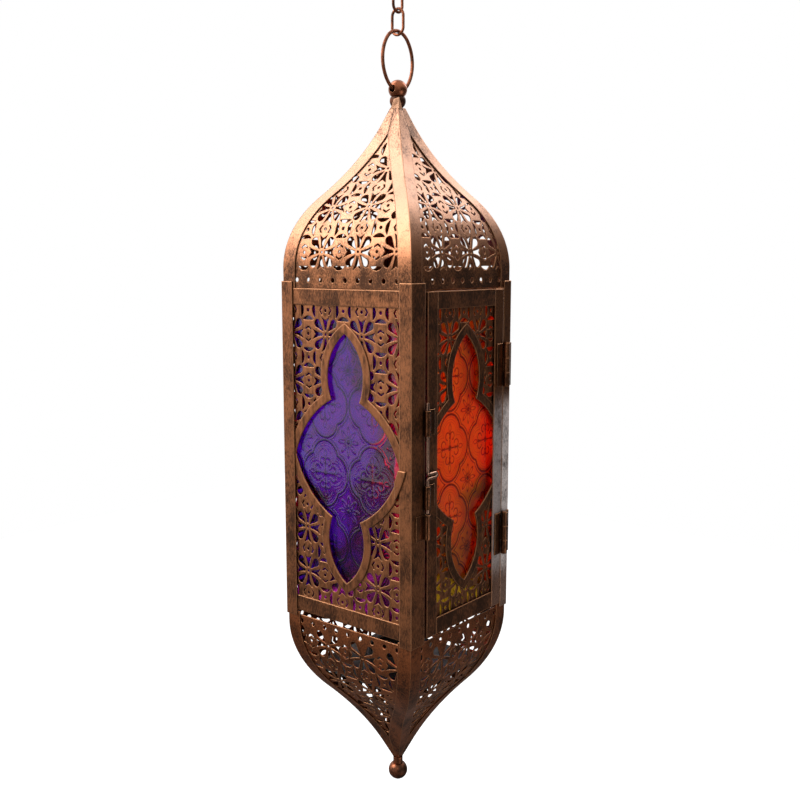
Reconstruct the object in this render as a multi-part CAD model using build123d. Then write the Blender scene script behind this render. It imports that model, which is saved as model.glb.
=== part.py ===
from build123d import *
from math import acos, asin, cos, degrees, hypot, pi, radians, sin, sqrt, tan
import os

# Driving dimensions of the lantern, in millimetres and degrees. Heights are taken from the top of
# the corner posts, up positive, and the finished pieces are lowered so that the crown of the hook,
# where the lantern hangs, is the origin. The door is on the -Y side.

# Sheet metal and fits
side = 110.0
post_height = 229.5
sheet = 0.8
fret_sheet = 0.7
solder_gap = 0.05
seam = 0.2
running_gap = 0.3
overrun = 20.0

# Corner posts: a folded strip on each corner, wider where it is the door's latch jamb
post_leg = 9.5
latch_jamb = 13.7
hinge_jamb = 8.3

# Fixed sides
panel_top = -4.5
panel_foot = 4.0
rail_width = 10.7

# Window: pointed lobes above and below a wide middle lobe, framed by a flat band
window_half_height = 82.5
window_tip_gap = 0.5
waist_half_width = 12.1
waist_half_height = 39.0
lobe_sagitta = 8.4
middle_sagitta = 5.4
band_width = 5.7
band_reveal = 2.0
band_tab_start = 3.0

# Pierced pattern: flowers on a square lattice with rings and crosses between them
pitch = 31.0
fret_margin = 0.9
flower_dot = 0.9
petal_near = 2.4
petal_far = 12.8
petal_width = 5.6
fork_near = 2.6
fork_far = 11.6
fork_stem_width = 1.6
fork_waist_width = 3.4
fork_head_width = 7.2
fork_notch = 2.4
ring_dot = 1.1
chevron_place = 4.6
chevron_width = 5.2
chevron_rise = 1.6
chevron_thickness = 1.4
cross_dot = 1.2
crescent_radius = 10.4
crescent_thickness = 2.8
crescent_half_angle = 28.0
upper_fret_shift = -1.6
upper_flower_row = 81.0
lower_fret_shift = -4.4
lower_flower_row = -81.0

# Glass panes and the clips that hold them
pane_thickness = 3.0
pane_inset = 4.5
pane_end_gap = 0.35
clip_length = 12.0
clip_hold = 5.0
clip_place = 30.0

# Door, with its gaps to the two jambs and its height above the posts' foot
latch_gap = 2.8
hinge_gap = 0.7
door_top = -5.3
door_foot = 3.0
stile_width = 10.0
door_rail_width = 11.0
door_fold = 6.0
door_pane_gap = 1.2
door_band_tuck = 3.0

# Hinges, with the pin's axis a little beyond the door's edge
hinge_shift = 1.0
hinge_offset = 59.0
hinge_length = 29.5
hinge_leaf = 9.0
knuckle_radius = 2.2
pin_radius = 1.0
pin_clearance = 0.05
pin_head_radius = 1.8
pin_head_height = 0.8
door_knuckle_share = 1 / 3

# Sliding wire bolt and its keepers; each keeper is named by its top edge
bolt_set = 0.3
bolt_radius = 1.1
keeper_wall = 0.6
keeper_flange = 9.5
bolt_top = -73.0
bolt_tip = -143.0
handle_top = -117.1
handle_bend = 1.4
handle_reach = 10.5
upper_keeper_top = -78.0
lower_keeper_top = -125.6
catch_top = -143.8
keeper_height = 16.0
lower_keeper_height = 14.9

# Upper dome, in side view: straight foot, convex arc, concave arc, straight tip; the bulge's share is
# the convex arc's radius over the concave one's
dome_foot = -4.3
dome_shoulder = 8.0
dome_bulge_share = 0.4375
dome_tip_turn = 21.0
dome_tip_length = 8.4
dome_tip_radius = 3.6
dome_top = 112.4
dome_fret_shift = 10.3
dome_flower_row = 19.0

# Lower dome, turned over; its heights are taken downward from the foot of the posts
base_foot = -0.4
base_rib_foot = -2.6
base_shoulder = 4.5
base_bulge_share = 0.4727
base_tip_turn = 23.0
base_tip_length = 13.1
base_tip_radius = 2.49
base_top = 111.5
base_fret_shift = -12.1
base_flower_row = 17.0

# Ribs, and the row of round holes along the foot of each dome sheet
rib_leg = 10.5
fret_tuck = 2.0
foot_hole_radius = 1.65
foot_hole_height = 0.9
base_hole_height = 3.6
foot_hole_pitch = 10.6
foot_hole_count = 9
fret_low_edge = 6.5

# Balls and collars at both ends; each rise is counted from the piece below
ball_radius = 6.2
ball_rise = 5.0
ball_bore_play = 0.6
collar_radius = 5.3
collar_rise = 4.6
ball_seat_rise = 2.3
base_collar_radius = 3.4
base_collar_length = 5.0
base_ball_radius = 6.75
base_ball_drop = 5.2

# Hanging ring, chain links and hook
ring_wire = 2.3
ring_half_height = 18.7
ring_half_width = 15.4
ring_end_share = 0.877
ring_sink_share = 0.43
link_wire = 1.85
link_length = 18.1
link_width = 11.0
hook_wire = 2.4
hook_eye_radius = 4.5
hook_crook_radius = 7.5
hook_shank = 4.0
hook_eye_sweep = 290.0
hook_crook_end = -20.0

# Candle plate inside the lower dome, with its tealight cup
plate_drop = 38.5
cup_radius = 20.0
cup_wall = 0.6
cup_height = 10.0

half = side / 2
rail_depth = sheet + solder_gap
fret_depth = rail_depth + sheet + solder_gap
clip_depth = fret_depth + fret_sheet + solder_gap
pane_depth = clip_depth + sheet + solder_gap
lip_depth = pane_depth + pane_thickness + solder_gap
inner_half = half - fret_depth - fret_sheet - seam
window_half_width = half - post_leg - window_tip_gap
pane_half_width = half - lip_depth - sheet - pane_end_gap
panel_height = post_height + panel_top - panel_foot
panel_middle = panel_top - panel_height / 2
door_left = -half + latch_jamb + latch_gap
door_right = half - hinge_jamb - hinge_gap
door_height = post_height + door_top - door_foot
door_width = door_right - door_left
door_centre = (door_left + door_right) / 2
door_middle = door_top - door_height / 2
turns = {"left": -90, "back": 180, "right": 90}
corners = {"front_left": 0, "front_right": 90, "back_right": 180, "back_left": 270}
front = Plane(origin=(0, -half, 0), x_dir=(1, 0, 0), z_dir=(0, -1, 0))
parts = {}


def turned(shape, angle):
    return Rot(0, 0, angle) * shape


def layer(sketch, depth, thickness):
    """A flat sheet on the front side, with its outer face at this depth behind the posts' face."""
    return extrude(front.offset(-depth) * sketch, amount=thickness, dir=(0, 1, 0))


def rectangle(left, right, bottom, top):
    return Pos((left + right) / 2, (bottom + top) / 2) * Rectangle(right - left, top - bottom)


def block(left, right, front_y, back_y, bottom, top):
    middle = Pos((left + right) / 2, (front_y + back_y) / 2, (bottom + top) / 2)
    return middle * Box(right - left, back_y - front_y, top - bottom)


def upright(points, bottom, top):
    """A straight piece of folded strip, from its outline seen from above."""
    outline = make_face(Polyline(*points, close=True))
    return Pos(0, 0, bottom) * extrude(outline, amount=top - bottom)


cross_plane = Plane(origin=(0, 0, 0), x_dir=(1, 0, 0), z_dir=(0, -1, 0))
along_plane = Plane(origin=(0, 0, 0), x_dir=(0, 1, 0), z_dir=(1, 0, 0))


def arc(centre, radius, first, last):
    """Arc about a centre from one angle to another, in degrees."""
    points = []
    for angle in (first, (first + last) / 2, last):
        turn = radians(angle)
        points.append((centre[0] + radius * cos(turn), centre[1] + radius * sin(turn)))
    return ThreePointArc(*points)


def wire(plane, edges, radius):
    """Round wire along tangent lines and arcs drawn on a plane."""
    path = plane * Wire([edge.edge() for edge in edges])
    start = Plane(origin=path @ 0, z_dir=path % 0)
    return sweep(start * Circle(radius), path=path)


# Corner posts


def post(across, along, front_leg, side_leg):
    """Angle on the corner where x and y have these signs."""
    points = [
        (half, half),
        (half - front_leg, half),
        (half - front_leg, half - sheet),
        (half - sheet, half - sheet),
        (half - sheet, half - side_leg),
        (half, half - side_leg),
    ]
    return upright([(across * x, along * y) for x, y in points], -post_height, 0)


parts["post_front_left"] = post(-1, -1, latch_jamb, post_leg)
parts["post_front_right"] = post(1, -1, hinge_jamb, post_leg)
parts["post_back_right"] = post(1, 1, post_leg, post_leg)
parts["post_back_left"] = post(-1, 1, post_leg, post_leg)


# Window outline


def bulge(first, second, sagitta):
    """Centre and radius of the arc between two points of the first quadrant that bulges outward."""
    along_u = second[0] - first[0]
    along_v = second[1] - first[1]
    chord = hypot(along_u, along_v)
    radius = (chord**2 / 4 + sagitta**2) / (2 * sagitta)
    reach = (radius - sagitta) / chord
    centre_u = (first[0] + second[0]) / 2 + along_v * reach
    centre_v = (first[1] + second[1]) / 2 - along_u * reach
    return (centre_u, centre_v), radius


def crossing(first, first_radius, second, second_radius):
    """The right-hand crossing of two circles, the first one above the second."""
    apart = hypot(second[0] - first[0], second[1] - first[1])
    along = (first_radius**2 - second_radius**2 + apart**2) / (2 * apart)
    across = sqrt(first_radius**2 - along**2)
    unit_u = (second[0] - first[0]) / apart
    unit_v = (second[1] - first[1]) / apart
    return (first[0] + unit_u * along - unit_v * across, first[1] + unit_v * along + unit_u * across)


def window(grow):
    """The window's outline about its own middle, moved outward by grow."""
    waist = (waist_half_width, waist_half_height)
    lobe, lobe_radius = bulge((0, window_half_height), waist, lobe_sagitta)
    middle, middle_radius = bulge(waist, (window_half_width, 0), middle_sagitta)
    lobe_radius += grow
    middle_radius += grow
    tip = (0, lobe[1] + sqrt(lobe_radius**2 - lobe[0] ** 2))
    waist = crossing(lobe, lobe_radius, middle, middle_radius)
    flank = (middle[0] + sqrt(middle_radius**2 - middle[1] ** 2), 0)
    edges = []
    for across, along in ((1, 1), (1, -1), (-1, -1), (-1, 1)):
        for first, second, centre, radius in (
            (tip, waist, lobe, lobe_radius),
            (waist, flank, middle, middle_radius),
        ):
            mid_u = (first[0] + second[0]) / 2 - centre[0]
            mid_v = (first[1] + second[1]) / 2 - centre[1]
            reach = radius / hypot(mid_u, mid_v)
            mid = (centre[0] + mid_u * reach, centre[1] + mid_v * reach)
            corners_of_arc = [(across * u, along * v) for u, v in (first, mid, second)]
            edges.append(ThreePointArc(*corners_of_arc))
    return make_face(edges)


# Pierced pattern: each hole is drawn about its own anchor, and a cell lists them about a flower


def petal():
    """A drop, pointed toward the flower's middle and round at its far end."""
    reach = (petal_far - petal_near) / 2
    radius = petal_width / 2
    centre = reach - radius
    turn = asin(radius / (centre + reach))
    touch = (centre - radius * sin(turn), radius * cos(turn))
    mirror_touch = (touch[0], -touch[1])
    over = Line((-reach, 0), touch)
    end = ThreePointArc(touch, (reach, 0), mirror_touch)
    under = Line(mirror_touch, (-reach, 0))
    return make_face([over, end, under])


def fork():
    reach = (fork_far - fork_near) / 2
    stem = fork_stem_width / 2
    waist = fork_waist_width / 2
    head = fork_head_width / 2
    over = ThreePointArc((-reach, stem), (0, waist), (reach, head))
    under = ThreePointArc((reach, -head), (0, -waist), (-reach, -stem))
    notch = Polyline((reach, head), (reach - fork_notch, 0), (reach, -head))
    root = Line((-reach, -stem), (-reach, stem))
    return make_face(over.edges() + notch.edges() + under.edges() + root.edges())


def chevron():
    arm = chevron_width / 2
    low = -chevron_rise / 2
    top = chevron_rise / 2
    deep = chevron_thickness
    points = [(-arm, low), (0, top), (arm, low), (arm, low - deep), (0, top - deep), (-arm, low - deep)]
    return make_face(Polyline(*points, close=True))


def crescent():
    """A crescent about the middle of its own arc, bulging to +V."""
    angle = radians(crescent_half_angle)
    arm = crescent_radius * sin(angle)
    low = crescent_radius * (cos(angle) - 1)
    outer = ThreePointArc((-arm, low), (0, crescent_thickness / 2), (arm, low))
    inner = ThreePointArc((arm, low), (0, -crescent_thickness / 2), (-arm, low))
    return make_face([outer, inner])


def cell():
    """Holes of one lattice cell, each with its anchor's place from the flower in its corner."""
    between = pitch / 2
    petal_middle = (petal_near + petal_far) / 2
    fork_middle = (fork_near + fork_far) / 2
    holes = [(Circle(flower_dot), 0, 0)]
    for quarter in range(4):
        angle = 90 * quarter
        slant = angle + 45
        toward = (cos(radians(angle)), sin(radians(angle)))
        aslant = (cos(radians(slant)), sin(radians(slant)))
        holes.append((Rot(0, 0, slant) * petal(), petal_middle * aslant[0], petal_middle * aslant[1]))
        holes.append((Rot(0, 0, angle) * fork(), fork_middle * toward[0], fork_middle * toward[1]))
        inward = between - crescent_radius
        place = (between + inward * toward[0], between + inward * toward[1])
        holes.append((Rot(0, 0, angle + 90) * crescent(), *place))
    for u, v, angle in ((between, 0, 0), (0, between, 90)):
        holes.append((Circle(ring_dot), u, v))
        for turn in (angle, angle + 180):
            place = radians(turn + 90)
            near = (u + chevron_place * cos(place), v + chevron_place * sin(place))
            holes.append((Rot(0, 0, turn) * chevron(), *near))
    holes.append((Circle(cross_dot), between, between))
    return holes


fret_cell = cell()


def lattice(flower_u, flower_v, u_reach, v_low, v_high):
    """Every hole of a lattice through this flower whose anchor lies within these limits."""
    first_column = -int((u_reach + flower_u) // pitch) - 1
    columns = int(2 * u_reach // pitch) + 3
    first_row = -int((flower_v - v_low) // pitch) - 1
    rows = int((v_high - v_low) // pitch) + 3
    for row in range(first_row, first_row + rows):
        for column in range(first_column, first_column + columns):
            for hole, u, v in fret_cell:
                place = (flower_u + column * pitch + u, flower_v + row * pitch + v)
                if abs(place[0]) < u_reach and v_low < place[1] < v_high:
                    yield hole, place


def holes_in(holes, allowed):
    """Outlines of the holes, each trimmed to the allowed region."""
    outlines = []
    for hole, (u, v) in holes:
        found = (Pos(u, v) * hole).intersect(allowed)
        if found:
            outlines.extend(face.outer_wire() for face in found.faces() if face.area > flower_dot**2)
    return outlines


def fret_sheets(half_width, half_height, shown_half_width, shown_half_height):
    """Pierced faces of a side about its middle; the pattern ends a little behind what covers it."""
    sheet_face = Rectangle(2 * half_width, 2 * half_height) - window(band_reveal)
    reach_u = shown_half_width + fret_tuck
    reach_v = shown_half_height + fret_tuck
    clear = window(band_reveal + fret_margin)
    upper = rectangle(-reach_u, reach_u, fret_margin, reach_v) - clear
    lower = rectangle(-reach_u, reach_u, -reach_v, -fret_margin) - clear
    upper_holes = lattice(upper_fret_shift + pitch / 2, upper_flower_row, half_width, 0, half_height)
    lower_holes = lattice(lower_fret_shift, lower_flower_row, half_width, -half_height, 0)
    cuts = holes_in(upper_holes, upper) + holes_in(lower_holes, lower)
    faces = []
    for face in sheet_face.faces():
        box = face.bounding_box()
        own = [cut for cut in cuts if box.min.Y < cut.center().Y < box.max.Y]
        faces.append(Face(face.outer_wire(), list(face.inner_wires()) + own))
    return faces


# Fixed sides: rails, pierced sheet, window band, pane and clips, made on the front and turned


def fixed_rails():
    top = rectangle(-inner_half, inner_half, panel_top - rail_width, panel_top)
    low_edge = panel_top - panel_height
    bottom = rectangle(-inner_half, inner_half, low_edge, low_edge + rail_width)
    return layer(top, rail_depth, sheet) + layer(bottom, rail_depth, sheet)


def fixed_fret():
    shown = (half - post_leg, panel_height / 2 - rail_width)
    face = fret_sheets(inner_half, panel_height / 2, *shown)[0]
    return layer(Pos(0, panel_middle) * face, fret_depth, fret_sheet)


def fixed_band():
    """The window band; the lower half of its right-hand tip steps over the post and lies on its face."""
    ring = window(band_width) - window(0)
    post_edge = half - post_leg
    step = post_edge - running_gap
    under = ring - rectangle(step, half, -half, half)
    riser = ring & rectangle(step - band_tab_start, step, -half, 0)
    over = ring & rectangle(step - band_tab_start, half, -half, 0)
    middle = Pos(0, panel_middle)
    band = layer(middle * under, rail_depth, sheet)
    band += layer(middle * riser, -sheet - solder_gap, rail_depth + sheet + solder_gap)
    band += layer(middle * over, -sheet - solder_gap, sheet)
    return band


def pane(half_width, centre, top, bottom):
    return layer(rectangle(centre - half_width, centre + half_width, bottom, top), pane_depth, pane_thickness)


def clips(centre, top, bottom):
    """Four folded clips that hook over the pane's upper and lower edges."""
    lip_end = lip_depth + sheet
    web = solder_gap + sheet
    points = [
        (clip_depth, -clip_hold),
        (clip_depth, web),
        (lip_end, web),
        (lip_end, -clip_hold),
        (lip_depth, -clip_hold),
        (lip_depth, solder_gap),
        (clip_depth + sheet, solder_gap),
        (clip_depth + sheet, -clip_hold),
    ]
    made = []
    for edge, up in ((top, 1), (bottom, -1)):
        for across in (-clip_place, clip_place):
            start = centre + across - clip_length / 2
            plane = Plane(origin=(start, -half, edge), x_dir=(0, 1, 0), z_dir=(1, 0, 0))
            section = make_face(Polyline(*[(depth, up * v) for depth, v in points], close=True))
            made.append(extrude(plane * section, amount=clip_length, dir=(1, 0, 0)))
    return made


pane_top = panel_top - pane_inset
pane_bottom = panel_top - panel_height + pane_inset
side_pieces = {
    "rails": fixed_rails(),
    "fret": fixed_fret(),
    "window_band": fixed_band(),
    "pane": pane(pane_half_width, 0, pane_top, pane_bottom),
}
side_clips = clips(0, pane_top, pane_bottom)
for name, angle in turns.items():
    for piece, shape in side_pieces.items():
        parts[f"{name}_{piece}"] = turned(shape, angle)
parts["pane_clips"] = Compound([turned(clip, angle) for angle in turns.values() for clip in side_clips])


# Door: folded frame, pierced sheets, band and pane, each behind the one before

door_bottom = door_top - door_height
fold_inner = sheet + solder_gap


def stile(edge, inward):
    points = [
        (edge, -half),
        (edge + inward * stile_width, -half),
        (edge + inward * stile_width, -half + sheet),
        (edge + inward * sheet, -half + sheet),
        (edge + inward * sheet, -half + door_fold),
        (edge, -half + door_fold),
    ]
    return upright(points, door_bottom, door_top)


def door_rail(edge, inward):
    left = door_left + stile_width + solder_gap
    right = door_right - stile_width - solder_gap
    flat = edge + inward * door_rail_width
    turn = edge + inward * sheet
    strip = block(left, right, -half, -half + sheet, min(edge, flat), max(edge, flat))
    return strip + block(left, right, -half, -half + door_fold, min(edge, turn), max(edge, turn))


door_inner_half = door_width / 2 - fold_inner
door_shown_half = door_width / 2 - stile_width
door_middle_place = Pos(door_centre, door_middle)
parts["door_latch_stile"] = stile(door_left, 1)
parts["door_hinge_stile"] = stile(door_right, -1)
parts["door_top_rail"] = door_rail(door_top, -1)
parts["door_bottom_rail"] = door_rail(door_bottom, 1)

door_frets = fret_sheets(
    door_inner_half, door_height / 2 - fold_inner, door_shown_half, door_height / 2 - door_rail_width
)
for face in door_frets:
    place = "upper" if face.center().Y > 0 else "lower"
    parts[f"door_{place}_fret"] = layer(door_middle_place * face, fret_depth, fret_sheet)

band_half = door_shown_half + door_band_tuck
door_band = (window(band_width) - window(0)) & rectangle(-band_half, band_half, -door_height, door_height)
for face in door_band.faces():
    place = "upper" if face.center().Y > 0 else "lower"
    parts[f"door_{place}_band"] = layer(door_middle_place * face, rail_depth, sheet)

door_pane_half = door_inner_half - door_pane_gap
door_pane_top = door_top - pane_inset
door_pane_bottom = door_bottom + pane_inset
parts["door_pane"] = pane(door_pane_half, door_centre, door_pane_top, door_pane_bottom)
parts["door_pane_clips"] = Compound(clips(door_centre, door_pane_top, door_pane_bottom))


# Hinges: three knuckles on a headed pin, the middle one on the door

leaf_back = -half - solder_gap
leaf_front = leaf_back - sheet
hinge_x = door_right + hinge_shift
hinge_y = -half - running_gap - knuckle_radius
door_knuckle = hinge_length * door_knuckle_share
knuckle_gap_edge = knuckle_radius + running_gap


def tube(x, y, outer, inner, bottom, top):
    middle = Pos(x, y, (bottom + top) / 2)
    return middle * (Cylinder(outer, top - bottom) - Cylinder(inner, top - bottom))


def bored(shape, bottom, top):
    bore = Pos(hinge_x, hinge_y, (bottom + top) / 2) * Cylinder(pin_radius + pin_clearance, top - bottom)
    return shape - bore


def door_leaf(middle):
    bottom = middle - hinge_length / 2
    top = middle + hinge_length / 2
    low = middle - door_knuckle / 2
    high = middle + door_knuckle / 2
    leaf = block(hinge_x - hinge_leaf, hinge_x - knuckle_gap_edge, leaf_front, leaf_back, bottom, top)
    leaf += block(hinge_x - hinge_leaf, door_right, leaf_front, leaf_back, low, high)
    leaf += tube(hinge_x, hinge_y, knuckle_radius, pin_radius + pin_clearance, low, high)
    return bored(leaf, low, high)


def post_leaf(middle):
    bottom = middle - hinge_length / 2
    top = middle + hinge_length / 2
    low = middle - door_knuckle / 2 - running_gap
    high = middle + door_knuckle / 2 + running_gap
    leaf = block(hinge_x + knuckle_gap_edge, half, leaf_front, leaf_back, bottom, top)
    for start, end in ((bottom, low), (high, top)):
        leaf += block(hinge_x, half, leaf_front, leaf_back, start, end)
        leaf += tube(hinge_x, hinge_y, knuckle_radius, pin_radius + pin_clearance, start, end)
    return bored(leaf, bottom, top)


def hinge_pin(middle):
    """Round pin whose head rests on the upper knuckle."""
    top = middle + hinge_length / 2
    bottom = middle - hinge_length / 2
    seat = top + solder_gap
    shank = Pos(hinge_x, hinge_y, (bottom + seat) / 2) * Cylinder(pin_radius, seat - bottom)
    head = Pos(hinge_x, hinge_y, seat + pin_head_height / 2) * Cylinder(pin_head_radius, pin_head_height)
    return shank + head


hinge_middles = [door_middle - hinge_offset, door_middle + hinge_offset]
parts["hinge_door_leaves"] = Compound([door_leaf(middle) for middle in hinge_middles])
parts["hinge_post_leaves"] = Compound([post_leaf(middle) for middle in hinge_middles])
parts["hinge_pins"] = Compound([hinge_pin(middle) for middle in hinge_middles])


# Wire bolt in folded keepers: two on the door's stile, one on the post as the catch

keeper_bore = bolt_radius + running_gap
keeper_radius = keeper_bore + keeper_wall
bolt_y = -half - running_gap - keeper_radius
post_edge = -half + latch_jamb
bolt_x = post_edge - bolt_set


def keeper(flange_start, flange_end, top, height):
    bottom = top - height
    flange = block(flange_start, flange_end, leaf_front, leaf_back, bottom, top)
    bore = Pos(bolt_x, bolt_y, (bottom + top) / 2) * Cylinder(keeper_bore, height)
    return flange + tube(bolt_x, bolt_y, keeper_radius, keeper_bore, bottom, top) - bore


def slide_bolt():
    """Wire with a hairpin handle; its tip is just clear of the catch, into which it drops."""
    upper = handle_top - bolt_radius
    lower = upper - 2 * handle_bend
    root = bolt_x + handle_bend
    end = bolt_x + handle_reach - bolt_radius - handle_bend
    edges = [
        Line((bolt_x, bolt_top), (bolt_x, upper + handle_bend)),
        arc((root, upper + handle_bend), handle_bend, 180, 270),
        Line((root, upper), (end, upper)),
        arc((end, upper - handle_bend), handle_bend, 90, -90),
        Line((end, lower), (root, lower)),
        arc((root, lower - handle_bend), handle_bend, 90, 180),
        Line((bolt_x, lower - handle_bend), (bolt_x, bolt_tip)),
    ]
    return Pos(0, bolt_y, 0) * wire(cross_plane, edges, bolt_radius)


door_flange = (post_edge + running_gap, bolt_x + keeper_flange)
parts["bolt_keepers"] = Compound(
    [
        keeper(*door_flange, upper_keeper_top, keeper_height),
        keeper(*door_flange, lower_keeper_top, lower_keeper_height),
    ]
)
parts["bolt_catch"] = keeper(bolt_x - keeper_flange, bolt_x, catch_top, keeper_height)
parts["slide_bolt"] = slide_bolt()


# Domes: an ogee in side view, drawn as radius and height, with offsets taken inward


class Ogee:
    def __init__(self, radius, shoulder, top, bulge_share, tip_turn, tip_length, tip_radius):
        self.radius = radius
        self.shoulder = shoulder
        self.tip_turn = radians(tip_turn)
        rise = top - shoulder - tip_length * cos(self.tip_turn)
        run = radius - tip_radius - tip_length * sin(self.tip_turn)
        self.turn, self.concave = self.bend(rise, run, bulge_share)
        self.convex = self.concave * bulge_share
        self.inner = (radius - self.convex, shoulder)
        reach = self.convex + self.concave
        self.outer = (self.inner[0] + reach * cos(self.turn), self.inner[1] + reach * sin(self.turn))

    def bend(self, rise, run, bulge_share):
        """Turn at the change of curve and concave radius that together give this rise and run."""
        low = self.tip_turn
        high = pi / 2
        for halving in range(60):
            turn = (low + high) / 2
            unit_rise = (bulge_share + 1) * sin(turn) - sin(self.tip_turn)
            unit_run = bulge_share * (1 - cos(turn)) + cos(self.tip_turn) - cos(turn)
            if unit_run * rise < unit_rise * run:
                low = turn
            else:
                high = turn
        return turn, rise / unit_rise

    def on_convex(self, angle, inset):
        reach = self.convex - inset
        return (self.inner[0] + reach * cos(angle), self.inner[1] + reach * sin(angle))

    def on_concave(self, angle, inset):
        reach = self.concave + inset
        return (self.outer[0] - reach * cos(angle), self.outer[1] - reach * sin(angle))

    def curve(self, inset, foot, top):
        """The ogee at this inset from its foot up to a level top, and its two ends."""
        start = (self.radius - inset, foot)
        shoulder = (self.radius - inset, self.shoulder)
        bend = self.on_convex(self.turn, inset)
        neck = self.on_concave(self.tip_turn, inset)
        edges = [Line(start, shoulder)]
        edges.append(ThreePointArc(shoulder, self.on_convex(self.turn / 2, inset), bend))
        if top > neck[1]:
            end = (neck[0] - (top - neck[1]) * tan(self.tip_turn), top)
            angle = self.tip_turn
            edges.append(Line(neck, end))
        else:
            angle = asin((self.outer[1] - top) / (self.concave + inset))
            end = self.on_concave(angle, inset)
        middle = self.on_concave((self.turn + angle) / 2, inset)
        edges.append(ThreePointArc(bend, middle, self.on_concave(angle, inset)))
        return edges, start, end

    def band(self, first, second, foot, top):
        """Section of a bent sheet between two insets."""
        outer, outer_foot, outer_top = self.curve(first, foot, top)
        inner, inner_foot, inner_top = self.curve(second, foot, top)
        return make_face(outer + inner + [Line(outer_foot, inner_foot), Line(outer_top, inner_top)])

    def beyond(self, shift, foot, top, reach):
        """The region from the curve, moved inward by shift, out to reach."""
        edges, start, end = self.curve(0, foot, top)
        moved = [Pos(-shift, 0) * edge for edge in edges]
        low = Polyline((start[0] - shift, foot), (reach, foot), (reach, top), (end[0] - shift, top))
        return make_face(moved + low.edges())

    def height_of(self, radius):
        """Height at which the concave arc has this radius."""
        angle = acos((self.outer[0] - radius) / self.concave)
        return self.outer[1] - self.concave * sin(angle)

    def radius_at(self, height, inset):
        """Radius on the convex arc at this height."""
        return self.inner[0] + sqrt((self.convex - inset) ** 2 - (height - self.shoulder) ** 2)

    def frame(self, length, u, inset):
        """Plane on the front sheet at this length along it from height zero, facing outward."""
        bend_length = self.shoulder + self.convex * self.turn
        if length < self.shoulder:
            angle = 0
            point = (self.radius - inset, length)
        elif length < bend_length:
            angle = (length - self.shoulder) / self.convex
            point = self.on_convex(angle, inset)
        else:
            angle = self.turn - (length - bend_length) / self.concave
            point = self.on_concave(angle, inset)
        return Plane(
            origin=(u, -point[0], point[1]), x_dir=(1, 0, 0), z_dir=(0, -cos(angle), sin(angle))
        ), point[0]


front_profile = Plane(origin=(0, 0, 0), x_dir=(0, -1, 0), z_dir=(-1, 0, 0))
left_profile = Plane(origin=(0, 0, 0), x_dir=(-1, 0, 0), z_dir=(0, 1, 0))
reach = half + overrun


def front_wedge(gap, foot, top):
    """All that lies between the front side's two hips."""
    face = make_face(Polyline((0, -gap), (-reach, -reach - gap), (reach, -reach - gap), close=True))
    return Pos(0, 0, foot - overrun) * extrude(face, amount=top - foot + 2 * overrun)


def rib(ogee, foot, top):
    """Angle bent along a hip: one leg on the front side, and its mirror on the left side."""
    bent = extrude(front_profile * ogee.band(0, sheet, foot, top), amount=reach, both=True)
    strip = extrude(left_profile * ogee.beyond(rib_leg, foot, top, reach), amount=reach, both=True)
    left_half = block(-reach, -seam / 2, -reach, reach, foot - overrun, top + overrun)
    leg = bent & strip & front_wedge(0, foot, top) & left_half
    return leg + mirror(leg, about=Plane(origin=(0, 0, 0), z_dir=(1, -1, 0)))


def dome_fret(ogee, foot, hole_height, flower_u, flower_row):
    """Pierced sheet behind the ribs' legs on the front side, mitred at the hips."""
    outer = sheet + solder_gap
    inner = outer + fret_sheet
    top = ogee.height_of(rib_leg - fret_tuck)
    bent = extrude(front_profile * ogee.band(outer, inner, foot, top), amount=reach, both=True)
    bent &= front_wedge(seam, foot, top)
    middle = (outer + inner) / 2
    bend_length = ogee.shoulder + ogee.convex * ogee.turn
    top_angle = acos((ogee.outer[0] - rib_leg) / ogee.concave)
    top_length = bend_length + ogee.concave * (ogee.turn - top_angle)
    tools = []
    row_half = (foot_hole_count - 1) / 2
    for number in range(foot_hole_count):
        plane, radius = ogee.frame(hole_height, (number - row_half) * foot_hole_pitch, middle)
        tools.append(extrude(plane * Circle(foot_hole_radius), amount=2 * sheet, both=True))
    for hole, (u, length) in lattice(flower_u, flower_row, half, fret_low_edge, top_length):
        box = hole.bounding_box()
        plane, radius = ogee.frame(length, u, middle)
        upper_plane, upper_radius = ogee.frame(length + box.max.Y, u, middle)
        inside = max(abs(u + box.min.X), abs(u + box.max.X)) < upper_radius - inner - fret_margin
        if inside and fret_low_edge < length + box.min.Y and length + box.max.Y < top_length:
            tools.append(extrude(plane * hole, amount=2 * sheet, both=True))
    return bent - tools


rib_radius = half - sheet - seam / 2
dome = Ogee(
    rib_radius, dome_shoulder, dome_top, dome_bulge_share, dome_tip_turn, dome_tip_length, dome_tip_radius
)
base = Ogee(
    rib_radius, base_shoulder, base_top, base_bulge_share, base_tip_turn, base_tip_length, base_tip_radius
)
turn_over = Pos(0, 0, -post_height) * Rot(180, 0, 0)
dome_rib = rib(dome, dome_foot, dome_top)
base_rib = turn_over * rib(base, base_rib_foot, base_top)
dome_sheet = dome_fret(dome, dome_foot, foot_hole_height, dome_fret_shift, dome_flower_row)
base_sheet = turn_over * dome_fret(base, base_foot, base_hole_height, base_fret_shift, base_flower_row)
for name, angle in corners.items():
    parts[f"dome_rib_{name}"] = turned(dome_rib, angle)
    parts[f"base_rib_{name}"] = turned(base_rib, angle + 90)
for name, angle in {"front": 0, **turns}.items():
    parts[f"dome_fret_{name}"] = turned(dome_sheet, angle)
    parts[f"base_fret_{name}"] = turned(base_sheet, angle + 180)


# Balls and collars at the two points


def trimmed_ball(radius, middle, low, high):
    keep = Pos(0, 0, (low + high) / 2) * Cylinder(reach, high - low)
    return (Pos(0, 0, middle) * Sphere(radius)) & keep


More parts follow.
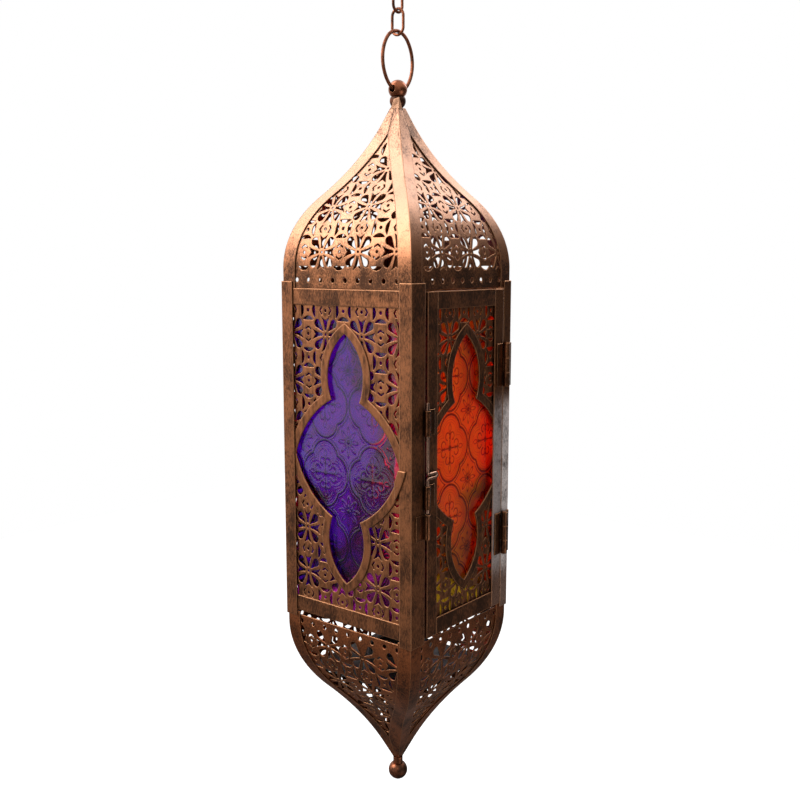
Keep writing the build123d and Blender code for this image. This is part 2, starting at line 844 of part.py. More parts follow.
collar_height = dome_top + collar_rise
ball_seat = collar_height + ball_seat_rise
ball_height = ball_seat + ball_rise
ring_end_radius = ring_half_width * ring_end_share
ring_sink = ring_sink_share * (ring_end_radius - sqrt(ring_end_radius**2 - ball_radius**2))
ball_bore_radius = ring_wire / 2 + ring_sink + ball_bore_play
ball = trimmed_ball(ball_radius, ball_height, ball_seat + solder_gap, ball_height + ball_radius)
parts["top_ball"] = ball - Pos(0, 0, ball_height) * Rot(0, 90, 0) * Cylinder(ball_bore_radius, side)
parts["top_collar"] = trimmed_ball(collar_radius, collar_height, dome_top + solder_gap, ball_seat)
base_collar_top = -post_height - base_top - solder_gap
base_collar_foot = base_collar_top - base_collar_length
parts["base_collar"] = Pos(0, 0, (base_collar_top + base_collar_foot) / 2) * Cylinder(
    base_collar_radius, base_collar_length
)
base_ball_height = base_collar_foot - solder_gap - base_ball_drop
parts["base_ball"] = trimmed_ball(
    base_ball_radius, base_ball_height, base_ball_height - base_ball_radius, base_collar_foot - solder_gap
)


# Hanging ring through the ball, two chain links and the hook


def oval_ring(middle):
    rise = ring_half_height - ring_end_radius
    flank = (ring_half_width**2 + rise**2 - ring_end_radius**2) / (2 * (ring_half_width - ring_end_radius))
    offset_u = flank - ring_half_width
    swing = degrees(asin(rise / (flank - ring_end_radius)))
    edges = [
        arc((0, middle + rise), ring_end_radius, swing, 180 - swing),
        arc((offset_u, middle), flank, 180 - swing, 180 + swing),
        arc((0, middle - rise), ring_end_radius, 180 + swing, 360 - swing),
        arc((-offset_u, middle), flank, -swing, swing),
    ]
    return wire(cross_plane, edges, ring_wire / 2)


def chain_link(plane, middle):
    end = (link_width - link_wire) / 2
    straight = (link_length - link_wire) / 2 - end
    edges = [
        Line((end, middle - straight), (end, middle + straight)),
        arc((0, middle + straight), end, 0, 180),
        Line((-end, middle + straight), (-end, middle - straight)),
        arc((0, middle - straight), end, 180, 360),
    ]
    return wire(plane, edges, link_wire / 2)


hook_span = hook_eye_radius + hook_crook_radius + hook_shank


def hook(eye):
    """S-shaped wire hook: a closed eye below, an open crook above."""
    crook = eye + hook_span
    tilt = asin((hook_eye_radius + hook_crook_radius) / hook_span)
    lean = degrees(tilt)
    foot = (hook_eye_radius * cos(tilt), eye + hook_eye_radius * sin(tilt))
    head = (-hook_crook_radius * cos(tilt), crook - hook_crook_radius * sin(tilt))
    eye_start = 360 + lean - hook_eye_sweep
    eye_middle = (eye_start + 360 + lean) / 2
    crook_start = 180 + lean
    crook_middle = (crook_start + hook_crook_end) / 2
    edges = [
        arc((0, eye), hook_eye_radius, eye_start, eye_middle),
        arc((0, eye), hook_eye_radius, eye_middle, 360 + lean),
        Line(foot, head),
        arc((0, crook), hook_crook_radius, crook_start, crook_middle),
        arc((0, crook), hook_crook_radius, crook_middle, hook_crook_end),
    ]
    return wire(along_plane, edges, hook_wire / 2)


link_reach = (link_length - link_wire) / 2
ring_middle = ball_height - ring_sink + ring_half_height
ring_crown = ring_middle + ring_half_height
lower_link_foot = ring_crown - (ring_wire + link_wire) / 2 - running_gap
lower_link_middle = lower_link_foot + link_reach
upper_link_foot = lower_link_middle + link_reach - link_wire - running_gap
upper_link_middle = upper_link_foot + link_reach
hook_foot = upper_link_middle + link_reach - (link_wire + hook_wire) / 2 - running_gap
hook_eye = hook_foot + hook_eye_radius
hang_height = hook_eye + hook_span + hook_crook_radius - hook_wire / 2
parts["hanging_ring"] = oval_ring(ring_middle)
parts["chain_link_lower"] = chain_link(along_plane, lower_link_middle)
parts["chain_link_upper"] = chain_link(cross_plane, upper_link_middle)
parts["hanging_hook"] = hook(hook_eye)


# Candle plate seated in the lower dome, with its cup

plate_foot = -post_height - plate_drop - sheet
plate_half = base.radius_at(plate_drop + sheet, sheet + solder_gap + fret_sheet) - seam
parts["candle_plate"] = block(-plate_half, plate_half, -plate_half, plate_half, plate_foot, plate_foot + sheet)
cup_foot = plate_foot + sheet
parts["tealight_cup"] = tube(0, 0, cup_radius + cup_wall, cup_radius, cup_foot, cup_foot + cup_height)

os.makedirs("parts", exist_ok=True)
for name, shape in parts.items():
    export_step(Pos(0, 0, -hang_height) * shape, f"parts/{name}.step")
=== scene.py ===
import math

import bpy
import numpy as np
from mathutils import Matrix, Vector


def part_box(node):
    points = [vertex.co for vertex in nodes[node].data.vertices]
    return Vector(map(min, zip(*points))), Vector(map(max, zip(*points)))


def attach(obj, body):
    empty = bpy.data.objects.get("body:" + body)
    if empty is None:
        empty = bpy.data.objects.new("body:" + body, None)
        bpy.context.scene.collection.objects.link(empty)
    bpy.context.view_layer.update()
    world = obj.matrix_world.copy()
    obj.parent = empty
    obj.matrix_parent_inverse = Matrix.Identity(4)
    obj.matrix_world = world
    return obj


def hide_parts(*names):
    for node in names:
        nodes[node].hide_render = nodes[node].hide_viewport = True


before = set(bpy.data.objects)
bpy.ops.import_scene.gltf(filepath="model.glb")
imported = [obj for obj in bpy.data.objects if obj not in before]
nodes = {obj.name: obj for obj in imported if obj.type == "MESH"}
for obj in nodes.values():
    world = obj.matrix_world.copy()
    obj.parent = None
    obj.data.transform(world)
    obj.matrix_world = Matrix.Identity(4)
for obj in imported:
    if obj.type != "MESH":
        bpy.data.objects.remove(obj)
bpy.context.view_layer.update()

# Corner posts: strips of browned copper sheet folded to an angle, one on each upright corner.
# They carry the three fixed sides and the door, and are soldered to the domes at both ends.


class Shading:
    """Shader nodes, added by kind. Each socket takes a number, a colour or another node's output."""

    def __init__(self, tree):
        self.tree = tree

    def source(self, kind):
        """Outputs of a node that takes nothing in."""
        return self.tree.nodes.new("ShaderNode" + kind).outputs

    def add(self, kind, sockets, **settings):
        made = self.tree.nodes.new("ShaderNode" + kind)
        for setting, value in settings.items():
            setattr(made, setting, value)
        self.feed(made, sockets)
        return made.outputs[0]

    def feed(self, made, sockets):
        for socket, value in sockets.items():
            if isinstance(value, bpy.types.NodeSocket):
                self.tree.links.new(value, made.inputs[socket])
            else:
                made.inputs[socket].default_value = value

    def math(self, operation, first, second):
        return self.add("Math", {0: first, 1: second}, operation=operation)

    def facing(self, first, second):
        """How far two directions agree, 1 where they are the same."""
        made = self.add("VectorMath", {0: first, 1: second}, operation="DOT_PRODUCT")
        return made.node.outputs["Value"]

    def spread(self, value, low, high, start=0.0, end=1.0):
        """Goes smoothly from start to end while the value goes from low to high."""
        sockets = {"Value": value, "From Min": low, "From Max": high, "To Min": start, "To Max": end}
        return self.add("MapRange", sockets, interpolation_type="SMOOTHSTEP")

    def blend(self, share, first, second):
        return self.add("MixRGB", {"Fac": share, "Color1": first, "Color2": second})


class Finish(Shading):
    """The finish of a surface."""

    def __init__(self, name):
        self.material = bpy.data.materials.new(name)
        self.material.use_nodes = True
        super().__init__(self.material.node_tree)
        self.surface = self.tree.nodes["Principled BSDF"]

    def place(self, scale=(1, 1, 1)):
        """Coordinates on the lantern, stretched so that one unit of a texture is 1 / scale metres."""
        return self.add("Mapping", {"Vector": self.source("TexCoord")["Object"], "Scale": scale})

    def sides_and_level(self):
        """The two coordinates across the lantern, and the height."""
        return self.add("SeparateXYZ", {"Vector": self.place()}).node.outputs

    def noise(self, grain, detail=4.0, roughness=0.6):
        sockets = {"Vector": self.place(grain), "Scale": 1.0, "Detail": detail, "Roughness": roughness}
        return self.add("TexNoise", sockets)


def antiqued_copper(
    name,
    rubbed,
    edge,
    grain=(1000, 1000, 360),
    copper=(0.36, 0.135, 0.055, 1),
    gloss=0.40,
    metal=0.92,
    sheen_heights=None,
    sheen_colour=None,
    brown_below=None,
    brown_above=None,
    seams=False,
):
    """Browned copper: dark patina in brushed streaks, copper where it is rubbed, bright worn edges, and
    soot with painted shade in its crevices.
    Between two heights it can carry a painted sheen: a pale, barely metallic colour standing in for a
    reflection.
    Below a height it can be brown, and it darkens towards that height and towards a height above. The
    seams in the middle of the sides can be left unrubbed."""
    patina = (0.040, 0.017, 0.0085, 1)
    burnished = (0.66, 0.31, 0.15, 1)
    browned = (0.45, 0.170, 0.070, 1)
    soot_and_shade = (0.012, 0.006, 0.004, 1)
    cloud_grain = (55, 55, 45)
    speck_grain = (1700, 1700, 1700)
    brown_fade = 0.055
    darken_below, darken_above = 0.03, 0.04
    sheen_fade, sheen_metal = 0.02, 0.2
    seam_half = 0.0008
    crevice = 0.004
    brushing = 0.0003
    finish = Finish(name)
    across, along, level = finish.sides_and_level()
    if brown_below is not None:
        share = finish.spread(level, brown_below + brown_fade, brown_below)
        copper = finish.blend(share, copper, browned)
    # Painted sheen: between the two heights the colour turns pale and barely metallic, standing in for a
    # reflection.
    if sheen_heights is not None:
        sheen_top, sheen_foot = sheen_heights
        sheen_share = finish.spread(level, sheen_top, sheen_top - sheen_fade)
        faded = finish.spread(level, sheen_foot - sheen_fade, sheen_foot, 0.25, 1.0)
        sheen_share = finish.math("MULTIPLY", sheen_share, faded)
        copper = finish.blend(sheen_share, copper, sheen_colour)
        metal = finish.spread(sheen_share, 0.0, 1.0, metal, sheen_metal)
    streaks = finish.noise(grain, 5.0, 0.7)
    clouds = finish.noise(cloud_grain, 5.0, 0.65)
    specks = finish.noise(speck_grain, 2.0)
    tone = finish.math("MULTIPLY_ADD", streaks, 0.5)
    finish.feed(tone.node, {2: finish.math("MULTIPLY", clouds, 0.5)})
    # The tone darkens towards the height for brown below and towards the height for brown above.
    if brown_below is not None:
        darkening = finish.spread(level, brown_below + darken_below, brown_below, 0.0, 0.13)
        tone = finish.math("ADD", tone, darkening)
    if brown_above is not None:
        darkening = finish.spread(level, brown_above - darken_above, brown_above, 0.0, 0.12)
        tone = finish.math("ADD", tone, darkening)
    dark = finish.spread(tone, rubbed - 0.10, rubbed + 0.11, 0.0, 0.92)
    round_normal = finish.add("Bevel", {"Radius": edge}, samples=6)
    flatness = finish.facing(round_normal, finish.source("NewGeometry")["Normal"])
    worn = finish.spread(finish.math("SUBTRACT", 1.0, flatness), 0.01, 0.12)
    worn = finish.math("MULTIPLY", worn, finish.spread(clouds, 0.3, 0.6, 0.45, 1.0))
    if seams:
        from_seam = [finish.math("ABSOLUTE", side, 0.0) for side in (across, along)]
        off_seam = finish.spread(finish.math("MINIMUM", *from_seam), seam_half, 2 * seam_half)
        worn = finish.math("MULTIPLY", worn, off_seam)
    colour = finish.blend(dark, copper, patina)
    colour = finish.blend(finish.spread(specks, 0.56, 0.70, 0.0, 0.6), colour, patina)
    colour = finish.blend(worn, colour, burnished)
    # Soot at the joints and painted shade: the colour darkens in crevices and corners, where ambient
    # occlusion is low.
    open_air = finish.add("AmbientOcclusion", {"Distance": crevice}, samples=4).node.outputs["AO"]
    colour = finish.blend(finish.spread(open_air, 0.7, 0.25, 0.0, 0.7), colour, soot_and_shade)
    rough = finish.spread(tone, rubbed - 0.2, rubbed + 0.2, gloss, gloss + 0.18)
    height = finish.math("MULTIPLY_ADD", streaks, 0.6)
    finish.feed(height.node, {2: finish.math("MULTIPLY", specks, 0.4)})
    bump = {"Strength": 0.3, "Distance": brushing, "Height": height, "Normal": round_normal}
    sockets = {"Base Color": colour, "Roughness": rough, "Metallic": metal}
    sockets.update({"Normal": finish.add("Bump", bump), "Coat Weight": 0.08, "Coat Roughness": 0.3})
    finish.feed(finish.surface, sockets)
    return finish.material


def dress(material, *names):
    """Gives whole pieces this finish."""
    for name in names:
        mesh = nodes[name].data
        mesh.materials.clear()
        mesh.materials.append(material)


corners = ("front_left", "front_right", "back_right", "back_left")
post_copper = antiqued_copper("post_copper", 0.50, 0.0012)
dress(post_copper, *[f"post_{corner}" for corner in corners])
# The front right post carries a painted sheen between two heights: a pale, barely metallic colour for the
# reflection on its face.
painted_sheen_heights = (-0.285, -0.405)
bright_sheen = (0.98, 0.86, 0.82, 1)
sheen_copper = antiqued_copper(
    "sheen_copper", 0.54, 0.0012, gloss=0.25, sheen_heights=painted_sheen_heights, sheen_colour=bright_sheen
)
dress(sheen_copper, "post_front_right")

# Fixed sides: two flat rails, a pierced copper sheet behind them and a band of copper round the window.
# They are soldered to the posts, and the sheet's cut edges are rubbed bright.

fixed_sides = ("left", "back", "right")
sheet_grain = (420, 420, 120)
rail_copper = antiqued_copper("rail_copper", 0.47, 0.0012)
fret_copper = antiqued_copper("fret_copper", 0.53, 0.0008, sheet_grain)
band_copper = antiqued_copper("band_copper", 0.52, 0.0014, sheet_grain)
dress(rail_copper, *[f"{side}_rails" for side in fixed_sides])
dress(fret_copper, *[f"{side}_fret" for side in fixed_sides])
dress(band_copper, *[f"{side}_window_band" for side in fixed_sides])

# Glass panes: pressed glass, one colour to a side, with a raised pattern of four-lobed medallions
# and small rosettes on its outer face. They stand behind the pierced sheets, held by folded clips.


def line(distance, width):
    """Height of a raised line from the distance to its middle."""
    return np.exp(-((distance / width) ** 2))


def medallions(u, v):
    """Height, from 0 to 1, of the pressed pattern at places in millimetres.
    Medallions, a little taller than wide, hold a flower of four arms, and rosettes stand between them."""
    repeat, repeat_height = 41.0, 46.5
    lobe_radius, lobe_reach = 11.4, 8.2
    outline, thread = 0.65, 0.5
    border_gap = 1.9
    contour_step = 1.5
    stem_start, stem_end, stem_width = 1.6, 9.4, 0.6
    curl_aside, curl_along, curl_radius, curl_foot = 2.4, 7.0, 2.2, 5.6
    leaf_aside, leaf_along, leaf_radius = -1.7, 11.8, 2.9
    button_radius, eye_radius = 1.0, 0.9
    petal_count, petal_edge = 8, 1.4
    petal_middle, petal_half_length, petal_half_width = 5.2, 2.9, 1.05

    v = v * repeat / repeat_height
    du = (u + repeat / 2) % repeat - repeat / 2
    dv = (v + repeat / 2) % repeat - repeat / 2
    shape = np.minimum(
        np.minimum(np.hypot(du - lobe_reach, dv), np.hypot(du + lobe_reach, dv)),
        np.minimum(np.hypot(du, dv - lobe_reach), np.hypot(du, dv + lobe_reach)),
    ) - lobe_radius
    contours = 0.18 * (1 + np.cos(2 * math.pi * shape / contour_step))
    contours = contours * (shape < -0.5 * contour_step) * (shape > -3.5 * contour_step)
    height = np.maximum.reduce([line(shape, outline), 0.6 * line(shape - border_gap, thread), contours])
    across, along = np.abs(du), np.abs(dv)
    for aside, outward in ((across, along), (along, across)):
        stem = line(aside, stem_width) * (outward > stem_start) * (outward < stem_end)
        curl = np.abs(np.hypot(aside - curl_aside, outward - curl_along) - curl_radius)
        curl = line(curl, thread) * ((outward > curl_foot) | (aside > curl_aside))
        leaf = np.abs(np.hypot(aside - leaf_aside, outward - leaf_along) - leaf_radius)
        leaf = line(leaf, thread)
        height = np.maximum.reduce([height, 0.6 * stem, 0.6 * curl, 0.5 * leaf])
    height = np.maximum(height, line(np.maximum(np.hypot(du, dv) - button_radius, 0), thread))

    su = u % repeat - repeat / 2
    sv = v % repeat - repeat / 2
    radius, angle = np.hypot(su, sv), np.arctan2(sv, su)
    turn = 2 * math.pi / petal_count
    petal = np.abs((angle + turn / 2) % turn - turn / 2) * radius
    petal = np.hypot(petal / petal_half_width, (radius - petal_middle) / petal_half_length)
    height = np.maximum(height, 0.55 * line((petal - 1) * petal_edge, thread))
    height = np.maximum(height, line(np.maximum(radius - eye_radius, 0), thread))
    return height


def relief_pane(name, node, angle, shift):
    """Pane with its pattern in real relief: the lines stand at the pane's face, the ground lies lower
    and is faintly rippled."""
    step = 0.00052
    depth = 0.00014
    ripple_depth = 0.000006
    low, high = (Vector(corner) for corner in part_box(node))
    turn = math.radians(angle)
    span = high - low
    thickness, width = sorted((span.x, span.y))
    middle = (low + high) / 2
    outer = max(abs(low.x), abs(high.x)) if span.x < span.y else max(abs(low.y), abs(high.y))
    columns, rows = int(width / step) + 1, int(span.z / step) + 1
    u = np.linspace(-width / 2, width / 2, columns)
    v = np.linspace(low.z, high.z, rows)
    grid_u, grid_v = np.meshgrid(u, v)
    height = medallions(1000 * grid_u + shift[0], 1000 * (grid_v - middle.z) + shift[1])
    waves_across = np.sin(1900 * grid_u + 3 * np.sin(700 * grid_v))
    waves_up = np.sin(1700 * grid_v + 2 * np.sin(900 * grid_u))
    ripple = ripple_depth * (waves_across * waves_up - 1)
    sunk = depth * (1 - height) - ripple * (1 - height)
    along = middle.y if span.x < span.y else middle.x
    along = -along if angle == -90 else along
    front = np.stack([(grid_u + along).ravel(), (sunk - outer).ravel(), grid_v.ravel()], axis=1)
    back = [
        (along + a * width / 2, thickness - outer, low.z if b < 0 else high.z)
        for a, b in ((-1, -1), (1, -1), (1, 1), (-1, 1))
    ]
    points = np.vstack([front, back])
    turned = points.copy()
    turned[:, 0] = points[:, 0] * math.cos(turn) - points[:, 1] * math.sin(turn)
    turned[:, 1] = points[:, 0] * math.sin(turn) + points[:, 1] * math.cos(turn)
    index = np.arange(rows * columns).reshape(rows, columns)
    quads = np.stack([index[:-1, :-1], index[:-1, 1:], index[1:, 1:], index[1:, :-1]], axis=-1)
    quads = quads.reshape(-1, 4)
    first = rows * columns
    a, b, c, d = range(first, first + 4)
    rims = [
        [a, b] + index[0, ::-1].tolist(),
        [b, c] + index[::-1, -1].tolist(),
        [c, d] + index[-1, :].tolist(),
        [d, a] + index[:, 0].tolist(),
        [d, c, b, a],
    ]
    mesh = bpy.data.meshes.new(name)
    mesh.from_pydata(turned.tolist(), [], quads.tolist() + rims)
    smooth = np.zeros(len(quads) + len(rims), dtype=bool)
    smooth[: len(quads)] = True
    mesh.polygons.foreach_set("use_smooth", smooth)
    mesh.validate()
    pattern = mesh.attributes.new("pattern", "FLOAT", "POINT")
    pattern.data.foreach_set("value", np.append(height.ravel(), [0.0] * len(back)))
    piece = bpy.data.objects.new(name, mesh)
    bpy.context.scene.collection.objects.link(piece)
    return piece


def pressed_glass(name, colour, roughness, painted_glint=None):
    """Coloured glass, a little streaky in its colour, with painted shade along the pressed lines.
    Towards the door its lines and its rim can carry painted glints in the colour of the pane across the
    corner, where the glass is less clear."""
    streak_grain = (60, 60, 18)
    fleck_grain = (150, 150, 60)
    lines_start, lines_full = -0.010, -0.034
    rim_start, rim_full = -0.035, -0.041
    glint_foot, glint_full = -0.425, -0.385
    finish = Finish(name)
    streaks = finish.noise(streak_grain, 3.0)
    deeper = tuple(0.90 * share for share in colour) + (1,)
    tint = finish.blend(finish.spread(streaks, 0.35, 0.65), deeper, colour + (1,))
    pattern = finish.add("Attribute", {}, attribute_name="pattern").node.outputs["Fac"]
    # Painted shade along the pressed lines, for the darkness their slopes refract.
    shaded = tuple(0.02 * share for share in colour) + (1,)
    tint = finish.blend(finish.spread(pattern, 0.08, 0.6, 0.0, 0.95), tint, shaded)
    clear = 1.0
    # Painted glints: on the lines and the rim towards the door, the colour turns to the glint colour and
    # the glass grows less clear.
    if painted_glint is not None:
        along, level = finish.sides_and_level()[1:]
        flecks = finish.spread(finish.noise(fleck_grain, 3.0), 0.40, 0.54)
        near_door = finish.spread(along, lines_start, lines_full)
        lines = finish.math("MULTIPLY", finish.spread(pattern, 0.2, 0.5), near_door)
        painted_glints = finish.math("MAXIMUM", lines, finish.spread(along, rim_start, rim_full))
        painted_glints = finish.math("MULTIPLY", painted_glints, flecks)
        painted_glints = finish.math("MULTIPLY", painted_glints, finish.spread(level, glint_foot, glint_full))
        tint = finish.blend(painted_glints, tint, painted_glint)
        clear = finish.spread(painted_glints, 0.0, 1.0, 1.0, 0.35)
    sockets = {"Base Color": tint, "Roughness": roughness, "IOR": 1.58, "Transmission Weight": clear}
    finish.feed(finish.surface, sockets)
    return finish.material


# Of each pane: the colour, the turn of its side, the shift of its pattern, how matt its inner face is,
# and the colour of its painted glints.
crimson = (0.86, 0.004, 0.048, 1)
panes = {
    "left": ("violet", (0.66, 0.034, 0.54), -90, (20, 11), 0.18, crimson),
    "back": ("blue", (0.08, 0.07, 0.66), 180, (-9, 14), 0.18, None),
    "right": ("red", (1.0, 0.012, 0.02), 90, (12, -4), 0.18, None),
    "door": ("amber", (1.0, 0.58, 0.03), 0, (14, -9), 0.32, None),
}
outer_roughness = 0.06
for side, (tint, colour, turn, shift, mattness, painted_glint) in panes.items():
    pane = relief_pane(f"{side}_relief_pane", f"{side}_pane", turn, shift)
    pane.data.materials.append(pressed_glass(f"{tint}_glass", colour, outer_roughness, painted_glint))
    pane.data.materials.append(pressed_glass(f"{tint}_glass_inside", colour, mattness))
    pane.data.polygons[-1].material_index = 1
    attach(pane, "door" if side == "door" else "lantern")
    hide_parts(f"{side}_pane")

clip_copper = antiqued_copper("clip_copper", 0.46, 0.0004)
dress(clip_copper, "pane_clips", "door_pane_clips")

# Door: a frame of four folded copper strips with pierced sheets and half bands behind it.
# It hangs on the right-hand post of its side and stands in the shade, browner than the rest.

door_copper = antiqued_copper("door_copper", 0.46, 0.0010)
door_fret_copper = antiqued_copper("door_fret_copper", 0.50, 0.0006, sheet_grain)
# The hinge stile carries the same painted sheen, in a duller colour.
dull_sheen = (0.52, 0.44, 0.42, 1)
sheen_stile_copper = antiqued_copper(
    "sheen_stile_copper", 0.54, 0.0012, gloss=0.25, sheen_heights=painted_sheen_heights, sheen_colour=dull_sheen
)
dress(door_copper, "door_latch_stile", "door_top_rail", "door_bottom_rail")
dress(sheen_stile_copper, "door_hinge_stile")
dress(door_fret_copper, "door_upper_fret", "door_lower_fret")
dress(door_copper, "door_upper_band", "door_lower_band")

# Hinges and bolt: leaves and keepers folded from copper strip, pins and bolt of copper wire.
# Leaves are soldered to the door and the posts, and the bolt's wire is painted a lighter copper all over,
# a painted highlight.

fitting_copper = antiqued_copper("fitting_copper", 0.49, 0.0006, gloss=0.10)
dress(fitting_copper, "hinge_door_leaves", "hinge_post_leaves", "hinge_pins")
dress(fitting_copper, "bolt_keepers", "bolt_catch")
wire_grain = (300, 300, 300)
painted_highlight_wire = (0.52, 0.30, 0.21, 1)
wire_copper = antiqued_copper("wire_copper", 0.60, 0.0004, wire_grain, painted_highlight_wire, 0.08)
dress(wire_copper, "slide_bolt")

# Domes: four angle ribs bent to an ogee, and four pierced sheets behind them, above and below.
# The upper dome's copper is painted lighter than the body's, as lit from above, and turns brown below its
# shoulder.

dome_grain = (900, 900, 700)
dome_gloss = 0.34
# Painted light: the upper dome's copper is lighter, as lit from above.
lit_dome_copper = (0.44, 0.228, 0.140, 1)
brown_copper = (0.41, 0.125, 0.043, 1)
shoulder = -0.213
peak = -0.101
rib_copper = antiqued_copper(
    "rib_copper",
    0.60,
    0.0010,
    dome_grain,
    lit_dome_copper,
    dome_gloss,
    brown_below=shoulder,
    brown_above=peak,
    seams=True,
)
dome_copper = antiqued_copper(
    "dome_copper", 0.60, 0.0008, dome_grain, lit_dome_copper, dome_gloss, brown_below=shoulder
)
base_copper = antiqued_copper("base_copper", 0.51, 0.0007, dome_grain, brown_copper, dome_gloss)
for corner in corners:
    dress(rib_copper, f"dome_rib_{corner}")
    dress(base_copper, f"base_rib_{corner}")
for side in fixed_sides + ("front",):
    dress(dome_copper, f"dome_fret_{side}")
    dress(base_copper, f"base_fret_{side}")

# Tip of the front rib: its sheet runs on up over the collar, beaten against it and soldered.
# Its left leg is cut to a slant and comes higher than its right one, and their crease stands upright.

rib_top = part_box("dome_rib_front_left")[1][2]
tip_half = 0.0036
tip_overlap = 0.0006
tip_height = 0.0062
tip_slant = 0.0009
tip_sheet = 0.00035
tip_gap = 0.00004
tip_rows, tip_columns = 19, 25
left_face, corner_turn, right_face = 180, 225, 270
left_cut, left_flare, left_curve = 33, 55, 1.4
right_cut, right_flare, right_curve = 6, 38, 2
crease_column = 19
crease_lean = 0.0008
face_lean = 15
collar_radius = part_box("top_collar")[1][0]
collar_rise = 0.0046
collar_middle = rib_top + collar_rise


def tip_reach(turn, share, height):
    """Distance from the lantern's axis to the rib's two faces, or to the collar where that is further."""
    crease = tip_half * math.sqrt(2) + crease_lean * share
    face = left_face + face_lean * share if turn < corner_turn else right_face - face_lean * share
    flat = crease * math.cos(math.radians(corner_turn - face)) / math.cos(math.radians(turn - face))
    collar = math.sqrt(max(collar_radius**2 - (height - collar_middle) ** 2, 0))
    return max(flat, collar)


tip_points = []
for lift in (tip_sheet, tip_gap):
    for share in np.linspace(0, 1, tip_rows):
        left = corner_turn - left_cut - left_flare * (1 - share) ** left_curve
        right = corner_turn + right_cut + right_flare * (1 - share) ** right_curve
        left_turns = np.linspace(left, corner_turn, crease_column + 1)
        right_turns = np.linspace(corner_turn, right, tip_columns - crease_column)[1:]
        for turn in np.append(left_turns, right_turns):
            slant = tip_slant * abs(turn - corner_turn) / left_cut
            height = rib_top - tip_overlap + (tip_overlap + tip_height - slant) * share
            reach = tip_reach(turn, share, height) + lift
            angle = math.radians(turn)
            tip_points.append((reach * math.cos(angle), reach * math.sin(angle), height))
outside, inside = np.arange(2 * tip_rows * tip_columns).reshape(2, tip_rows, tip_columns)
tip_faces = []
for row in range(tip_rows - 1):
    for column in range(tip_columns - 1):
        square = [(row, column), (row, column + 1), (row + 1, column + 1), (row + 1, column)]
        tip_faces.append([int(outside[place]) for place in square])
        tip_faces.append([int(inside[place]) for place in reversed(square)])
rim = [(0, column) for column in range(tip_columns)]
rim += [(row, tip_columns - 1) for row in range(1, tip_rows)]
rim += [(tip_rows - 1, column) for column in range(tip_columns - 2, -1, -1)]
rim += [(row, 0) for row in range(tip_rows - 2, 0, -1)]
for first, second in zip(rim, rim[1:] + rim[:1]):
    tip_faces.append([int(outside[second]), int(outside[first]), int(inside[first]), int(inside[second])])
tip_mesh = bpy.data.meshes.new("front_rib_tip")
tip_mesh.from_pydata(tip_points, [], tip_faces)
# The tip is painted a pale bright copper and is barely metallic: a painted highlight.
painted_highlight_copper = (1.0, 0.52, 0.30, 1)
tip_copper = antiqued_copper(
    "tip_copper", 0.66, 0.0001, dome_grain, painted_highlight_copper, dome_gloss, metal=0.2
)
tip_mesh.materials.append(tip_copper)
rib_tip = bpy.data.objects.new("front_rib_tip", tip_mesh)
bpy.context.scene.collection.objects.link(rib_tip)
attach(rib_tip, "lantern")

# Balls and collars: cast and turned copper, soldered on the two points.
# The upper ball is drilled for the hanging ring.

cast_grain = (180, 180, 180)
cast_gloss = 0.3
red_copper = (0.36, 0.115, 0.052, 1)
ball_copper = antiqued_copper("ball_copper", 0.66, 0.0001, cast_grain, red_copper, cast_gloss)
base_ball_copper = antiqued_copper("base_ball_copper", 0.47, 0.0001, cast_grain, red_copper, cast_gloss)
sooty_copper = antiqued_copper("sooty_copper", 0.42, 0.0001, cast_grain, red_copper)
dress(ball_copper, "top_ball")
dress(base_ball_copper, "base_collar", "base_ball")
dress(sooty_copper, "top_collar")

# Candle plate and cup: galvanised sheet, laid in the lower dome and seen only through its holes.
# The cup, a ring of the same sheet, is soldered on.


def galvanised(name):
    """Zinc in pale and grey spangles, with darker clouds."""
    pale_zinc = (0.17, 0.165, 0.16, 1)
    grey_zinc = (0.11, 0.105, 0.10, 1)
    dark_zinc = (0.07, 0.065, 0.06, 1)
    spangle_grain = (160, 160, 160)
    cloud_grain = (60, 60, 60)
    finish = Finish(name)
    spangle = finish.add("TexVoronoi", {"Vector": finish.place(spangle_grain), "Scale": 1.0})
    clouds = finish.noise(cloud_grain)
    colour = finish.blend(finish.spread(spangle, 0.1, 0.7), pale_zinc, grey_zinc)
    colour = finish.blend(finish.spread(clouds, 0.5, 0.75, 0.0, 0.6), colour, dark_zinc)
    rough = finish.spread(clouds, 0.3, 0.7, 0.35, 0.55)
    bump = finish.add("Bump", {"Strength": 0.15, "Distance": 0.0002, "Height": clouds})
    sockets = {"Base Color": colour, "Roughness": rough, "Metallic": 0.9, "Normal": bump}
    finish.feed(finish.surface, sockets)
    return finish.material


dress(galvanised("galvanised_sheet"), "candle_plate", "tealight_cup")

# Ring, chain and hook: bent copper wire, with the ends of the ring and the links closed.
# The ring turns in the ball, and the links hang from the hook.

chain_copper = antiqued_copper("chain_copper", 0.52, 0.0004, wire_grain, red_copper)
dress(chain_copper, "hanging_ring", "chain_link_lower", "chain_link_upper", "hanging_hook")

# Studio: a pale floor well below the hanging lantern, a white surround and soft light from the left.
# The metal mirrors a darker floor, and a surround that is bright on two sides and above.

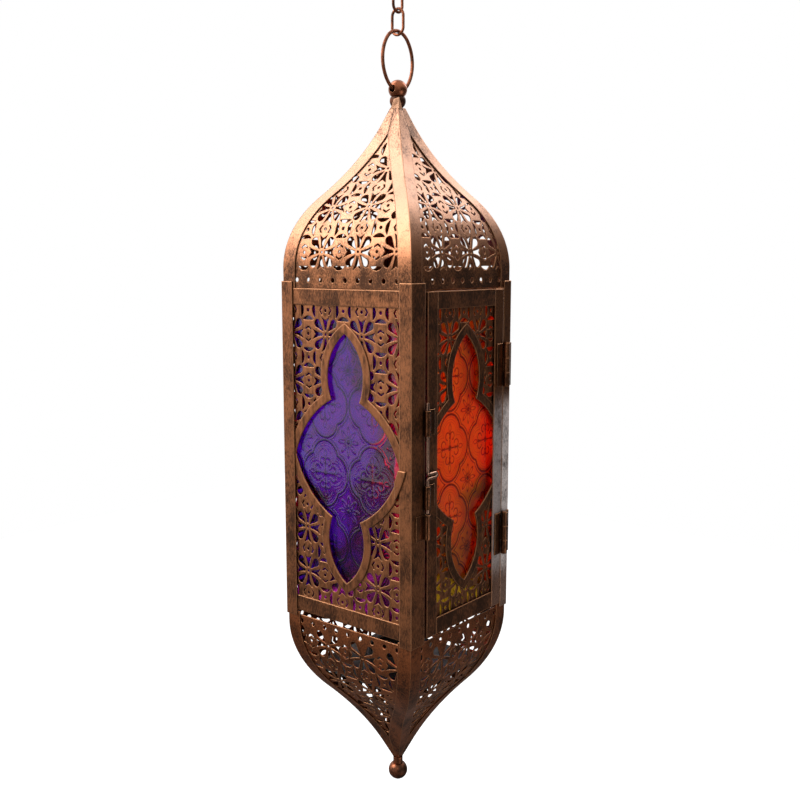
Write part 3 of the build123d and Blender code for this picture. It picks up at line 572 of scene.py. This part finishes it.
floor_level = -1.25
floor_reach = 3.0
pale_grey = (0.86, 0.86, 0.86, 1)
mirrored_brown = (0.10, 0.09, 0.08, 1)
floor_glow, floor_mirrored_glow = 0.75, 0.03
square_corners = ((-1, -1), (1, -1), (1, 1), (-1, 1))
floor_corners = [(x * floor_reach, y * floor_reach, floor_level) for x, y in square_corners]
floor_mesh = bpy.data.meshes.new("floor")
floor_mesh.from_pydata(floor_corners, [], [(0, 1, 2, 3)])
floor = bpy.data.objects.new("floor", floor_mesh)
bpy.context.scene.collection.objects.link(floor)
pale = Finish("pale_floor")
path = pale.source("LightPath")
shade = pale.blend(path["Is Glossy Ray"], pale_grey, mirrored_brown)
seen = pale.math("MAXIMUM", path["Is Camera Ray"], path["Is Transmission Ray"])
seen = pale.math("MULTIPLY", seen, floor_glow)
mirrored = pale.math("MULTIPLY", path["Is Glossy Ray"], floor_mirrored_glow)
glow = pale.math("MAXIMUM", seen, mirrored)
pale.feed(pale.surface, {"Base Color": shade, "Roughness": 0.8})
pale.feed(pale.surface, {"Emission Color": (1, 1, 1, 1), "Emission Strength": glow})
floor_mesh.materials.append(pale.material)

scene = bpy.context.scene
scene.view_settings.view_transform = "Standard"
world = bpy.data.worlds.new("studio")
scene.world = world
world.use_nodes = True
sky = Shading(world.node_tree)
bright_sides = (
    ((-0.79, 0.61, 0), 0.35, 0.95),
    ((0, 0, 1), 0.15, 0.75),
    ((0.78, 0.63, 0), 0.5, 0.95),
)
dim = 0.05
room_share = 0.45
direction = sky.source("TexCoord")["Generated"]
studio = 0.0
for bright_side, start, end in bright_sides:
    ramp = sky.spread(sky.facing(direction, bright_side), start, end, dim, 1.0)
    studio = sky.math("MAXIMUM", studio, ramp)
path = sky.source("LightPath")
mirrored = sky.math("MULTIPLY", path["Is Glossy Ray"], studio)
seen = sky.math("MAXIMUM", path["Is Camera Ray"], path["Is Transmission Ray"])
seen = sky.math("MAXIMUM", seen, mirrored)
room = sky.math("MULTIPLY", studio, room_share)
backdrop = sky.tree.nodes["Background"]
sky.feed(backdrop, {"Color": (1, 1, 1, 1), "Strength": sky.math("MAXIMUM", seen, room)})

# Of each lamp: its place, size and power.
lantern_middle = Vector((0, 0, -0.33))
lamps = {
    "key": ((-1.10, 0.90, 0.60), 1.1, 19.0),
    "top": ((-0.15, 0.80, 1.00), 0.9, 8.0),
    "fill": ((-1.2, -1.5, 0.2), 1.2, 2.2),
    "edge": ((1.05, -0.10, 0.60), 0.7, 4.2),
    "low": ((0.10, -1.30, -1.05), 0.9, 3.2),
}
for name, (place, size, power) in lamps.items():
    light = bpy.data.lights.new(name, "AREA")
    light.size = size
    light.energy = power
    lamp = bpy.data.objects.new(name, light)
    lamp.location = Vector(place)
    lamp.rotation_euler = (lantern_middle - Vector(place)).to_track_quat("-Z", "Y").to_euler()
    scene.collection.objects.link(lamp)

# Camera: at the photograph's angle, above the middle of the lantern and looking a little down.

view_direction = Vector((0.7712, 0.6204, -0.1429))
lens = bpy.data.cameras.new("camera")
lens.sensor_width = 36.0
lens.lens = 43.70
camera = bpy.data.objects.new("camera", lens)
camera.location = (-0.5123, -0.4140, -0.19944)
camera.rotation_euler = view_direction.to_track_quat("-Z", "Y").to_euler()
scene.collection.objects.link(camera)
scene.camera = camera
